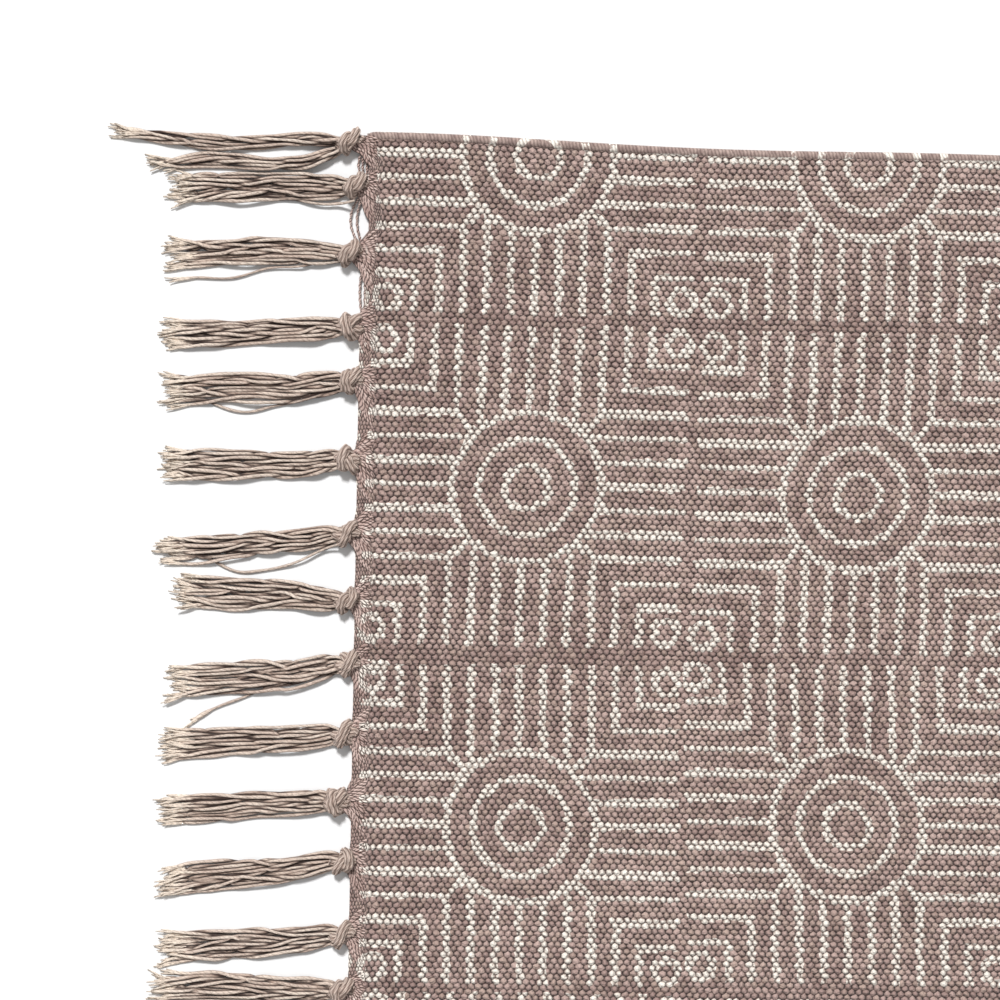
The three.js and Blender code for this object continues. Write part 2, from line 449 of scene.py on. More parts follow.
def cloth_face(field):
    """The printed side of the weave."""
    (along, up), (in_x, in_y), chances, away, bead = weave(field)
    x, y, _ = field.place().parts()
    # A bead takes its colour mostly from its middle, so the print cuts through few of them
    centre_x = x * TO_MM - in_x * CENTRE_SHARE
    centre_y = y * TO_MM - in_y * CENTRE_SHARE
    bare = printed_lines(field, centre_x, centre_y, chances[2])
    missed = ((centre_x - MISSED_PLACE[0]) / MISSED_SIZE[0]) ** 2
    missed = missed + ((centre_y - MISSED_PLACE[1]) / MISSED_SIZE[1]) ** 2
    bare = bare.most(1 - (missed + chances[1] * 0.6).over(1.25))
    clouds = field.noise(field.vector(along, up), 0.03, 3.0, 0.6, flat=True)
    tint = (clouds - 0.5) * 1.1 + chances[0] * 0.45 + 0.22
    # The ink lies double between two rows of stamps, and thicker towards the ends of the rug
    from_seam = abs((FIRST_BLOCK[1] - centre_y) / BLOCK_ACROSS[1] % 1 - 0.5) * BLOCK_ACROSS[1]
    tint = tint + (1 - from_seam.ramp(1.0, 5.5)) * 0.18
    tint = tint + (abs(centre_x) - THICK_INK_FROM).ramp(0.0, 60.0) * 0.22
    ink = tint.ramp(0.0, 1.0).mix(MAUVE, MAUVE_DEEP)
    ink = (chances[1].ramp(0.4, 1.0) * 0.45).mix(ink, MAUVE_GREY)
    # Bare cotton gets a little random tone, and painted shade towards each bead's edge
    cotton = (away.ramp(0.5, 1.05) * 0.6 + chances[0] * 0.12).mix(CREAM, CREAM_TONE_AND_PAINTED_SHADE)
    base = bare.mix(ink, cotton)
    # The side of a float that the next one is beaten against is the deepest. Painted shade darkens it
    # and the gaps between floats, most on each float's lower right as if lit from above, and bare cotton
    # a little less
    shaded_flank = away + in_x * 0.08 - in_y * 0.14 - bare * 0.09
    slanting = field.vector(along + up * 0.8, up * 1.6 - along * 1.1)
    fibres = field.noise(slanting, 1.1, 3.0, 0.65, flat=True)
    base = (shaded_flank.ramp(0.62, 1.02) * 0.7).mix(base, PAINTED_GAP_SHADE_EDGE)
    base = (shaded_flank.ramp(0.90, 1.16) * 0.95).mix(base, PAINTED_GAP_SHADE)
    base = ((0.5 - fibres).most(0) * 0.9).least(0.5).mix(base, MAUVE_DEEP)
    relief = bead + (fibres - 0.5) * 0.2
    return base, relief, 1.7 * MM


def cloth_back(field):
    """The underside of the weave: bare cotton, where the ink only shows through faintly."""
    _, _, chances, away, bead = weave(field)
    shown = (chances[0] * 0.5).mix(BACK_COTTON, BACK_STAINED)
    # Painted shade in the gaps between the beads
    base = (away.ramp(0.80, 1.22) * 0.8).mix(shown, BACK_PAINTED_GAP_SHADE)
    return base, bead, 0.8 * MM


printed_weave = finish("printed weave", cloth_face, 0.92)
plain_weave = finish("unprinted weave", cloth_back, 0.92)

# A grid of one row for each warp, finer towards the ends, is the face. Its rim is turned down and
# closed below, so the cloth is one solid sheet lying on the floor.
ENDS_SHAPED = 14 * MM
LEAN_REACH = 11 * MM
LEAN_SHARE = 0.09
RIM_WIDTH = 0.8 * MM
RIM_DROP = 0.9 * MM
warps = int(round(CLOTH_WIDTH / WARP_PITCH))
half_length = CLOTH_LENGTH / 2
fine = np.concatenate([[0, 0.35 * MM, RIM_WIDTH], np.linspace(1.5 * MM, ENDS_SHAPED, 12)])
coarse = np.linspace(ENDS_SHAPED, CLOTH_LENGTH - ENDS_SHAPED, 92)[1:-1]
stations = np.concatenate([fine, coarse, CLOTH_LENGTH - fine[::-1]]) - half_length
edge = CLOTH_WIDTH / 2
threads = np.linspace(-edge, edge, warps + 1)
grid_x, grid_y = np.meshgrid(stations, threads, indexing="ij")

# The ends follow the bays and necks, and the long sides the drawn-in selvedges
across_share = grid_y / edge
inward_top = (edge - selvedge_at(grid_x)) * np.clip(across_share, 0, 1) ** 1.5
inward_bottom = (edge - selvedge_at(-grid_x)) * np.clip(-across_share, 0, 1) ** 1.5
side = SELVEDGE_THICKNESS / 2
face_y = grid_y * (1 - side / edge) - inward_top + inward_bottom
left_reach = end_reach(face_y)
right_reach = end_reach(-face_y)
left_share = np.clip(1 - (grid_x + half_length) / ENDS_SHAPED, 0, 1) ** 2
right_share = np.clip(1 - (half_length - grid_x) / ENDS_SHAPED, 0, 1) ** 2
face_x = grid_x - left_reach * left_share + right_reach * right_share
face_z = CLOTH_THICKNESS + swell(face_x, face_y) * (1 - left_share) * (1 - right_share)
from_end = half_length - np.abs(grid_x)
face_z = face_z - RIM_DROP * np.clip(1 - from_end / RIM_WIDTH, 0, 1) ** 2

# In the headings the warps lean towards their knots: the pattern's rows shift, and not the cloth
lean_left = np.clip(1 - (grid_x + half_length) / LEAN_REACH, 0, 1) ** 1.5
lean_right = np.clip(1 - (half_length - grid_x) / LEAN_REACH, 0, 1) ** 1.5
lean = gather(grid_y[0]) * lean_left - gather(-grid_y[0]) * lean_right
cloth_u = grid_x / CLOTH_LENGTH + 0.5
cloth_v = (grid_y + lean * LEAN_SHARE) / CLOTH_WIDTH + 0.5
columns, rows = grid_x.shape
top = np.column_stack([face_x.ravel(), face_y.ravel(), face_z.ravel()])
uv = np.column_stack([cloth_u.ravel(), cloth_v.ravel()])
below = top * np.array([1, 1, 0])
index = np.arange(columns * rows).reshape(columns, rows)
quads = np.stack([index[:-1, :-1], index[1:, :-1], index[1:, 1:], index[:-1, 1:]], axis=-1)
quads = quads.reshape(-1, 4)
count = len(top)
rim = np.concatenate([index[0, ::-1], index[1:, 0], index[-1, 1:], index[-2:0:-1, -1]])
rim_next = np.roll(rim, -1)
walls = np.column_stack([rim + count, rim_next + count, rim_next, rim])
uv = np.concatenate([uv, uv])
face_part = dict(points=np.concatenate([top, below]), faces=np.concatenate([quads, walls]))
face_part["uv"] = uv[face_part["faces"]]
back_part = dict(points=np.zeros((0, 3)), faces=quads[:, ::-1] - count, material=1)
back_part["uv"] = uv[quads[:, ::-1]]

# The two selvedges are the outermost warps, which lie in a bundle that the weft wraps at each turn,
# so slanting ribs run along it. Here it is a round bundle with closed ends along each long side.
SELVEDGE_SIDES = 12
SELVEDGE_STEPS = 420
SELVEDGE_RIB = 1.32
RIB_INK = colour(184, 162, 153)
RIB_INK_DEEP = colour(150, 128, 122)


def unit(vectors):
    """The same directions, each of length 1."""
    return vectors / np.linalg.norm(vectors, axis=-1, keepdims=True)


def lay_yarns(paths, radii, sides, squeeze=1.0, twist=0.0):
    """Round yarns with closed ends along many paths at once, as one part of a mesh."""
    number, steps, _ = paths.shape
    runs = unit(np.gradient(paths, axis=1))
    normal = np.cross([0.0, 0.0, 1.0], runs[:, 0])
    normals = np.empty_like(paths)
    for step in range(steps):
        run = runs[:, step]
        normal = unit(normal - run * (normal * run).sum(axis=1, keepdims=True))
        normals[:, step] = normal
    binormals = np.cross(runs, normals)
    pieces = np.linalg.norm(np.diff(paths, axis=1), axis=2)
    lengths = np.concatenate([np.zeros((number, 1)), np.cumsum(pieces, axis=1)], axis=1)
    around = 2 * math.pi * np.arange(sides) / sides
    out = np.cos(around)[None, None, :]
    up = np.sin(around)[None, None, :] * squeeze
    turn = (lengths * twist)[:, :, None]
    side_way = out * np.cos(turn) - up * np.sin(turn)
    up_way = out * np.sin(turn) + up * np.cos(turn)
    points = paths[:, :, None, :] + radii[:, :, None, None] * (
        side_way[..., None] * normals[:, :, None, :] + up_way[..., None] * binormals[:, :, None, :]
    )
    place = np.arange(number * steps * sides).reshape(number, steps, sides)
    ahead = np.roll(place, -1, axis=2)
    walls = [place[:, :-1], ahead[:, :-1], ahead[:, 1:], place[:, 1:]]
    faces = np.stack(walls, axis=-1).reshape(-1, 4)
    corners = (lengths[:, :-1, None], lengths[:, 1:, None], np.arange(sides) / sides)
    from_u, to_u, low_v = (np.broadcast_to(each, place[:, 1:].shape) for each in corners)
    high_v = low_v + 1 / sides
    corners_u = np.stack([from_u, from_u, to_u, to_u], axis=-1).reshape(-1, 4)
    corners_v = np.stack([low_v, high_v, high_v, low_v], axis=-1).reshape(-1, 4)
    ends = []
    for k in range(1, sides // 2):
        low, high = k, sides - 1 - k
        ends.append(place[:, 0, [low - 1, high + 1, high, low]][:, ::-1])
        ends.append(place[:, -1, [low - 1, high + 1, high, low]])
    ends = np.concatenate(ends)
    flat = np.zeros((len(ends), 4, 2))
    uv = np.stack([corners_u / MM, corners_v], axis=-1)
    return dict(
        points=points.reshape(-1, 3),
        faces=np.concatenate([faces, ends]),
        uv=np.concatenate([uv, flat]),
        shape=(number, steps, sides),
    )


def spun_rib(field):
    """A bundle wrapped by the weft: slanting ribs, mauve with the print's bare lines, and painted shade
    between the ribs.
    """
    u, v, _ = field.node("UVMap", {"uv_map": "UVMap"}).parts()
    place = field.place()
    x, y, _ = place.parts()
    patch = field.noise(place, 420.0, 2.0, 0.6)
    rib = ((u / SELVEDGE_RIB - v * 2 + patch * 0.9) * (2 * math.pi)).sine() * 0.5 + 0.5
    bare = printed_lines(field, x * TO_MM, y * TO_MM, patch)
    bare = bare * patch.ramp(0.40, 0.55)
    ink = patch.ramp(0.3, 0.7).mix(RIB_INK, RIB_INK_DEEP)
    base = bare.mix(ink, CREAM)
    # Painted shade in the hollows between the ribs
    base = ((1 - rib).ramp(0.45, 1.0) * 0.42).mix(base, PAINTED_GAP_SHADE)
    return base, rib * 0.7 + patch * 0.6, 0.45 * MM


wrapped_edge = finish("wrapped selvedge", spun_rib, 0.92)

along = np.linspace(1 * MM - half_length, half_length - 1 * MM, SELVEDGE_STEPS)
bundle = np.column_stack([along, selvedge_at(along) - side, np.full(SELVEDGE_STEPS, side)])
bundles = np.stack([bundle, bundle * np.array([-1, -1, 1])])
bundle_radii = np.full(bundles.shape[:2], side)
bundle_radii[:, [0, -1]] *= 0.55
bundle_radii[:, [1, -2]] *= 0.9
edge_part = lay_yarns(bundles, bundle_radii, SELVEDGE_SIDES)
edge_part["material"] = 2
cloth_parts = [face_part, back_part, edge_part]
cloth = join_mesh("woven_cloth", cloth_parts, [printed_weave, plain_weave, wrapped_edge])
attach(cloth, "root")
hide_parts("woven_panel")

# The fringe is the warps' own ends. About twelve are gathered from each width of cloth, tied in an
# overhand knot against its edge, and left hanging as thick two-ply yarns that fray where they are cut.
YARN_RADIUS = 0.69 * MM
PLY_RADIUS = 0.36 * MM
FAN_PITCH = 1.15 * MM
FAN_RADIUS = 0.56 * MM
YARN_STEPS = 36
YARN_SIDES = 6
# How far from its knot a yarn reaches the floor, takes its own way, and has dipped with its tassel
SINK = 14 * MM
RELEASED = 9 * MM
DIPPED = 24 * MM
# A yarn's fine and broad waves: how far they swing, and their length over 2 pi
FINE_WOBBLE = 0.16 * MM
FINE_WAVE = 2.6 * MM
BROAD_WOBBLE = 0.65 * MM
BROAD_WAVE = 7.6 * MM
SETTLE_ROUNDS = 90
FAN_STEPS = 11
FRAY_PLIES = 4
FRAY_STEPS = 7

# Yarns that leave their bundle, by tassel: places along it and to the side of its knot, in millimetres
STRAYS = {
    1: [[(0, -5.5), (1, -6), (10, -7.6), (21, -4.8), (30, -4.5)]],
    2: [[(0, -3), (14, -4.2), (28, -5.7), (39, -9.2), (50, -9.8), (62, -10.8)]],
    4: [[(0, -3), (20, -7), (38, -12.6), (50, -10), (62, -7)]],
    6: [[(0, -3), (14, -8), (30, -14.6), (42, -15.2), (55, -10), (66, -8)]],
    8: [[(0, -3), (16, -6), (34, -10.6), (48, -14.6), (56, -19), (63, -23)]],
    10: [[(0, 2), (20, 3), (40, 1.5), (60, -1), (69, -1.5)]],
}
# The loose yarn of this tassel ends early, in a small tuft
TUFTED_STRAY = 8
# The corner tassel falls in two bunches, and the lower one lies across its neighbour: whether the
# bunch is the lower one, its way as above, and half its width
CORNER_BUNCHES = [
    (False, [(0, 0), (18, 1.2), (31, -0.5), (49, -1.2), (67, 0.3), (83, 2.8), (90, 3.4)], 3.6),
    (True, [(0, -3), (17, -8), (31, -8.7), (42, -7.2), (56, -7.4), (67, -9.7), (76, -7.8)], 3.2),
]

random = np.random.default_rng(11)


def settle(paths, radius, free, sideways, lift):
    """Lets yarns laid beside each other push apart, sink to the floor and pile up."""
    pull, fall, shove, stiffness = 0.06, 0.07 * MM, 0.36, 0.3
    for _ in range(SETTLE_ROUNDS):
        paths[:, :, 1] += (sideways - paths[:, :, 1]) * pull * free
        paths[:, :, 2] -= fall * free
        apart = paths[:, None, :, 1:] - paths[None, :, :, 1:]
        distance = np.linalg.norm(apart, axis=-1, keepdims=True)
        overlap = np.clip(2 * radius - distance, 0, None)
        push = (apart / np.maximum(distance, 1e-9) * overlap).sum(axis=1) * shove
        paths[:, :, 1:] += push * free[..., None]
        middle = (paths[:, :-2] + paths[:, 2:]) / 2
        paths[:, 1:-1, 1:] += (middle - paths[:, 1:-1])[..., 1:] * stiffness * free[:, 1:-1, None]
        paths[:, :, 2] = np.maximum(paths[:, :, 2], radius * 1.02 + lift * free)
    return paths


def painted_flank_shade(part, paths):
    """Painted shade for how far each point of a yarn has turned from its top: 0 on top, and about 0.4 on
    its sides.
    """
    number, steps, sides = part["shape"]
    points = part["points"].reshape(number, steps, sides, 3)
    apart = points - paths[:, :, None, :]
    rise = apart[..., 2] / np.maximum(np.linalg.norm(apart, axis=-1), 1e-9)
    return np.clip(0.85 - rise, 0, 1) * 0.45


def shaded_sides(part, paths):
    """Painted shade for how deep each point of a yarn lies between its neighbours and how far it turns
    from its top, from 0 in the open to 1.
    """
    number, steps, sides = part["shape"]
    points = part["points"].reshape(number, steps, sides, 3)
    shade = np.zeros((number, steps, sides))
    for other in range(number):
        axis = paths[other][None, :, None, :]
        distance = np.linalg.norm((points - axis)[..., 1:], axis=-1)
        near = np.clip(1 - (distance - YARN_RADIUS) / (1.15 * YARN_RADIUS), 0, 1)
        near[other] = 0
        above = np.clip((axis[..., 2] - points[..., 2]) / YARN_RADIUS + 0.6, 0, 1)
        shade += near * (0.35 + 0.65 * above)
    return np.clip(shade * 1.1 + painted_flank_shade(part, paths), 0, 1).ravel()


ROPE_POINTS = 120


def evenly_spaced(line, count):
    """The same line with its points at equal distances, and its length."""
    lengths = np.linalg.norm(np.diff(line, axis=0), axis=1)
    places = np.concatenate([[0], np.cumsum(lengths)])
    even = np.linspace(0, places[-1], count)
    return np.column_stack([np.interp(even, places, line[:, k]) for k in range(3)]), places[-1]


def overhand_knot():
    """The line of a rope tied in a tight overhand knot along X, on a rope one unit thick."""
    t = np.linspace(-2.1, 2.1, ROPE_POINTS)
    line = np.column_stack([(t**5 - 10 * t) / 4, t**3 - 3 * t, t**4 - 4 * t**2])
    pulled = [[-12, 0, 0], [12, 0, 0]]
    line = np.concatenate([pulled[:1], line, pulled[1:]])
    for turn in range(900):
        if turn % 15 == 0:
            line, length = evenly_spaced(line, ROPE_POINTS)
            order = np.arange(len(line))
            far = np.abs(order[:, None] - order[None, :]) * length / (ROPE_POINTS - 1) > 1.7
        line[1:-1] += ((line[:-2] + line[2:]) / 2 - line[1:-1]) * 0.45
        apart = line[:, None] - line[None, :]
        distance = np.linalg.norm(apart, axis=-1)
        overlap = np.where(far, np.clip(1 - distance, 0, None), 0)
        line += (apart / np.maximum(distance, 1e-9)[..., None] * overlap[..., None]).sum(axis=1) * 0.2
        line[[0, -1]] = pulled
    return line


def yarn_marks(part, tint, tip):
    """Marks every point of a part with its yarn's own tint and how near it is to the cut end."""
    number, steps, sides = part["shape"]
    marks = np.zeros((number, steps, sides, 3))
    marks[..., 0] = np.asarray(tint)[:, None, None]
    marks[..., 1] = np.asarray(tip)[:, :, None]
    part["yarn"] = marks.reshape(-1, 3)
    return part


# The knots are pulled up this much closer to the cloth than the solids, which keep a gap
KNOT_TIGHT = 1.5 * MM
KNOT_LOBES = 7
KNOT_STEPS = 58
KNOT_REACH = 1.9
KNOT_TINT = 0.4
# The ink on the knots' yarns, how far out the four lines of each yarn stand, and how much painted shade
# each line gets
KNOT_INKED = -0.45
KNOT_FLUTES = [0.80, 0.97, 1.03, 0.97]
KNOT_GROOVE_SHADE = [0.6, 0.2, 0.0, 0.2]
rope = overhand_knot()
rope, _ = evenly_spaced(rope[np.abs(rope[:, 0]) < KNOT_REACH], KNOT_STEPS)
rope[:, 2] -= (rope[:, 2].max() + rope[:, 2].min()) / 2


def tied_knot(turned):
    """A bundle of seven outer yarns in an overhand knot, its middle at the origin."""
    turn = math.radians(turned)
    flip = 1 if turned % 20 else -1
    line = rope * np.array([1, flip, 1])
    y = line[:, 1] * math.cos(turn) - line[:, 2] * math.sin(turn)
    z = line[:, 1] * math.sin(turn) + line[:, 2] * math.cos(turn)
    line = np.column_stack([line[:, 0], y, z])
    body = np.abs(line[:, 0]) < 1.0
    span = np.ptp(line[body], axis=0) + 1.0
    fit = np.array([KNOT_ALONG, KNOT_ACROSS, KNOT_HEIGHT]) / span
    middle = (line[body].max(axis=0) + line[body].min(axis=0)) / 2
    # Its two ends run out along the axis, a little thinner
    kept = np.clip(KNOT_REACH - np.abs(line[:, 0]), 0, 0.6) / 0.6
    line[:, 1:] = (line[:, 1:] - middle[1:]) * kept[:, None]
    line = line * fit
    radius = 0.62 * fit[1] * (0.72 + 0.28 * kept)
    part = lay_yarns(line[None], radius[None], KNOT_LOBES * 4)
    _, steps, sides = part["shape"]
    points = part["points"].reshape(steps, sides, 3)
    flute = np.tile(KNOT_FLUTES, KNOT_LOBES)
    thick = random.uniform(0.88, 1.1, KNOT_LOBES).repeat(4)
    beat = random.uniform(0, 6, KNOT_LOBES).repeat(4)
    uneven = 1 + 0.07 * np.sin(np.arange(steps)[:, None] * 0.9 + beat)
    flute = flute[None, :] * thick[None, :] * uneven
    points = line[:, None, :] + (points - line[:, None, :]) * flute[..., None]
    x, y, z = (points[..., k] / MM for k in range(3))
    phases = random.uniform(0, 6, 3)
    lumps = np.sin(x / 0.8 + phases[0]) * np.sin(y / 1.1 + phases[1])
    lumps = lumps + 0.7 * np.sin(y / 0.6 + z / 0.9 + phases[2])
    points = points * (1 + 0.085 * lumps[..., None])
    part["points"] = points.reshape(-1, 3)
    part["uv"][..., 1] *= KNOT_LOBES
    part = yarn_marks(part, [KNOT_TINT], np.full((1, steps), KNOT_INKED))
    # Painted shade in the grooves between the knot's yarns, most on the sunk line
    part["yarn"][:, 2] = np.tile(KNOT_GROOVE_SHADE, KNOT_LOBES * steps)
    return part


def crossing_lanes(count, share):
    """Side to side places of yarns that swap lanes along a tassel, from -1 to 1."""
    ranks = []
    place = random.permutation(np.linspace(-1, 1, count))
    for mixing in (0.0, 0.55, 0.45, 0.35, 0.3):
        place = place + random.normal(0, 1, count) * mixing
        place = np.argsort(np.argsort(place)) * 2 / (count - 1) - 1
        ranks.append(place)
    ranks = np.array(ranks)
    knots = np.linspace(0, 1, len(ranks))
    lanes = np.array([np.interp(share, knots, ranks[:, yarn]) for yarn in range(count)])
    for _ in range(4):
        lanes[:, 1:-1] = (lanes[:, :-2] + 2 * lanes[:, 1:-1] + lanes[:, 2:]) / 4
    return lanes


def hanging_yarns(n, row):
    """The loose yarns of one tassel, from inside its knot to their cut ends, and their frays."""
    count = row["yarns"]
    share = np.linspace(0, 1, YARN_STEPS) ** 1.15
    reach = row["length"] * (0.965 - 0.07 * random.random(count) ** 1.3)
    if n == 0:
        reach = reach * np.where(np.arange(count) % 2, 1.07, 0.90)
    outward = share[None, :] * reach[:, None]
    angle = np.arange(count) * 2.4 + n
    disc = 2.0 * MM * np.sqrt((np.arange(count) + 0.4) / count)
    root_y = disc * np.cos(angle)
    root_z = KNOT_HEIGHT * 0.44 + disc * np.sin(angle)
    lanes = crossing_lanes(count, share)
    first = np.argsort(np.argsort(root_y))
    lanes = lanes[np.argsort(lanes[:, 0])][first]
    half = row["spread"] / 2 - YARN_RADIUS * 0.8
    opened = np.clip(outward / row["length"], 0, 1) ** 0.5
    sideways = lanes * (2.2 * MM + (half - 2.2 * MM) * opened)
    sideways = sideways + row["drift"] * (outward / row["length"]) ** 1.3
    sideways = sideways + row["dip"] * smooth(outward / DIPPED)
    if n == 0:
        for is_lower, way, width in CORNER_BUNCHES:
            bunch = (np.arange(count) % 2 == 0) == is_lower
            way = np.array(way)
            middle = np.interp(outward[bunch], way[:, 0] * MM, way[:, 1] * MM)
            narrowed = 1 - 0.88 * smooth((outward[bunch] - 38 * MM) / (44 * MM))
            spread_out = np.linspace(-1, 1, bunch.sum())[:, None] * width * MM * narrowed
            sideways[bunch] = middle + random.permutation(spread_out) * opened[bunch] * 0.8
    wave = random.uniform(0, 2 * math.pi, (4, count, 1))
    bent = smooth(outward / (16 * MM))
    wobble = FINE_WOBBLE * np.sin(outward / FINE_WAVE + wave[0])
    wobble = wobble + BROAD_WOBBLE * np.sin(outward / BROAD_WAVE + wave[1])
    sideways = sideways + wobble * bent
    released = smooth(outward / RELEASED)
    y = root_y[:, None] + (sideways - root_y[:, None]) * released
    lift = np.clip(np.sin(outward / (8 * MM) + wave[2]), 0, 1) * 1.5 * MM * bent
    lift = lift + 2.2 * MM * (1 - smooth(outward / (30 * MM))) * bent
    z = root_z[:, None] + (1.6 * MM - root_z[:, None]) * smooth(outward / SINK) + lift
    paths = np.stack([-outward, y, z], axis=-1)
    free = smooth((outward - 1.5 * MM) / (7 * MM))
    paths = settle(paths, YARN_RADIUS, free, sideways, lift)
    slim = []
    for stray in STRAYS.get(n, []):
        stray = np.array(stray)
        way = np.interp(outward[0], stray[:, 0] * MM, stray[:, 1] * MM)
        for _ in range(6):
            way[1:-1] = (way[:-2] + way[1:-1] * 2 + way[2:]) / 4
        way = way + 0.5 * MM * np.sin(outward[0] / (4.1 * MM)) * smooth(outward[0] / RELEASED)
        outermost = int(np.argmin(lanes[:, -1])) if stray[-1, 1] < 0 else int(np.argmax(lanes[:, -1]))
        paths[outermost, :, 1] = way
        sunk = paths[outermost, :, 2] - 1.2 * MM * free[outermost]
        paths[outermost, :, 2] = np.maximum(YARN_RADIUS, sunk)
        slim.append(outermost)
    tints = random.random(count)
    radii = np.full(paths.shape[:2], YARN_RADIUS) * random.uniform(0.82, 1.1, (count, 1))
    radii = radii * (1 + 0.09 * np.sin(outward / (1.9 * MM) + wave[3]))
    radii[slim] *= 0.72
    if n == TUFTED_STRAY:
        paths[slim, :, 0] *= 0.9
        radii[slim, -4:] *= np.array([1.7, 2.2, 2.6, 2.6])
    radii[:, -4:] *= np.array([0.92, 0.8, 0.62, 0.4])
    marks = np.clip((outward / reach[:, None] - 0.78) / 0.22, 0, 1)
    yarns = yarn_marks(lay_yarns(paths, radii, YARN_SIDES), tints, marks)
    # The third mark is painted shade, on each yarn's sides and where it lies between its neighbours
    yarns["yarn"][:, 2] = shaded_sides(yarns, paths)

    # Towards each cut end the twist opens, and the yarn falls apart into its plies
    begin = paths[:, -5]
    ahead = paths[:, -1] - paths[:, -5]
    run = np.linalg.norm(ahead, axis=1, keepdims=True)
    ahead = ahead / run
    plies = []
    along = np.linspace(0, 1, FRAY_STEPS)
    for _ in range(FRAY_PLIES):
        length = run + random.uniform(0.5, 4.2, (count, 1)) * MM
        away = random.normal(0, 1, (count, 3)) * np.array([0, 1, 0.45])
        away = unit(away) * random.uniform(0.3, 1.35, (count, 1))
        curl = np.sin(along * 5 + random.uniform(0, 6, (count, 1))) * 0.25
        apart = (along**1.6 + curl * along)[..., None] * away[:, None, :] * MM
        line = begin[:, None, :] + ahead[:, None, :] * (along * length)[..., None] + apart
        line[..., 2] = np.maximum(line[..., 2], PLY_RADIUS * 0.9)
        plies.append(line)
    plies = np.concatenate(plies)
    ply_radii = np.tile(PLY_RADIUS * np.linspace(1.3, 0.85, FRAY_STEPS), (len(plies), 1))
    ply_radii[:, -1] *= 0.6
    frayed = np.tile(np.linspace(0.6, 1.6, FRAY_STEPS), (len(plies), 1))
    frays = yarn_marks(lay_yarns(plies, ply_radii, 4), np.tile(tints, FRAY_PLIES), frayed)
    return [yarns, frays]


def gathered_warps(n, row):
    """The warps of one width of cloth, leaning over its heading into the back of the knot."""
    upper = CLOTH_WIDTH / 2 - 1.0 * MM
    if n > 0:
        upper = knot_places[n - 1] * 0.4 + row["across"] * 0.6
    lower = 1.0 * MM - CLOTH_WIDTH / 2
    if n < TASSEL_COUNT - 1:
        lower = row["across"] * 0.4 + knot_places[n + 1] * 0.6
    count = int((upper - lower) / FAN_PITCH)
    lanes = np.linspace(lower, upper, count) + random.normal(0, 0.12 * MM, count) - row["across"]
    place = lanes / np.abs(lanes).max()
    knot_x = -row["out"] - KNOT_ALONG / 2 * 0.1 + KNOT_TIGHT
    begins = (4.6 + 2.4 * random.random(count)) * MM
    t = np.linspace(0, 1, FAN_STEPS)[None, :]
    hugging = 1 + 2.8 * np.abs(place[:, None])
    inside = (begins[:, None] + 0.3 * MM) * (1 - t) ** hugging - 0.3 * MM
    pulled_out = smooth((t - 0.55) / 0.45)
    x = inside + (knot_x + 1.6 * MM) * pulled_out
    bend = t + 0.06 * np.sin(math.pi * t)
    y = lanes[:, None] + (place[:, None] * 1.9 * MM - lanes[:, None]) * bend
    neck_z = 2.6 * MM + 1.7 * MM * np.sqrt(1 - place**2 * 0.95) * random.uniform(-0.4, 1.0, count)
    over = smooth((t - 0.35) / 0.65)
    low = CLOTH_THICKNESS - 0.3 * MM + 0.35 * MM * np.sin(math.pi * np.clip(t * 1.6, 0, 1))
    sunk = 0.7 * MM * np.abs(place[:, None]) * smooth((t - 0.5) / 0.3) * (1 - over)
    z = low - sunk + (neck_z[:, None] - low) * over - 0.7 * MM * (1 - smooth(t / 0.16))
    x = x - CLOTH_LENGTH / 2
    y = y + row["across"]
    paths = np.stack([x, y, z - pucker(x, y)], axis=-1)
    radii = FAN_RADIUS * random.uniform(0.85, 1.1, (count, 1)) * np.ones((1, FAN_STEPS))
    radii[:, 0] *= 0.6
    inked = np.full((count, FAN_STEPS), -1.0)
    warps_part = yarn_marks(lay_yarns(paths, radii, YARN_SIDES), random.random(count), inked)
    # Painted shade on the sides of the warps, so that only their tops stay light
    warps_part["yarn"][:, 2] = painted_flank_shade(warps_part, paths).ravel() * 2.5
    return warps_part


# Cotton yarn, the ink on the warps at the cloth, and the painted shade in the furrows between plies and
# on and between strands
YARN_PALE = colour(255, 238, 222)
YARN_STAINED = colour(224, 200, 184)
YARN_INK = colour(218, 194, 185)
YARN_INK_DEEP = colour(166, 138, 130)
CUT_END = colour(255, 240, 222)
PAINTED_FURROW_SHADE = colour(76, 50, 44)
STRAND_DARK = colour(128, 102, 92)
STRAND_PALE = colour(255, 241, 228)
PAINTED_GROOVE_SHADE_EDGE = colour(150, 115, 97)
PAINTED_GROOVE_SHADE = colour(50, 29, 22)
FIBRE_DARK = colour(110, 88, 78)
# Where the print ends, in millimetres from the rug's middle
PRINT_END = 449.2


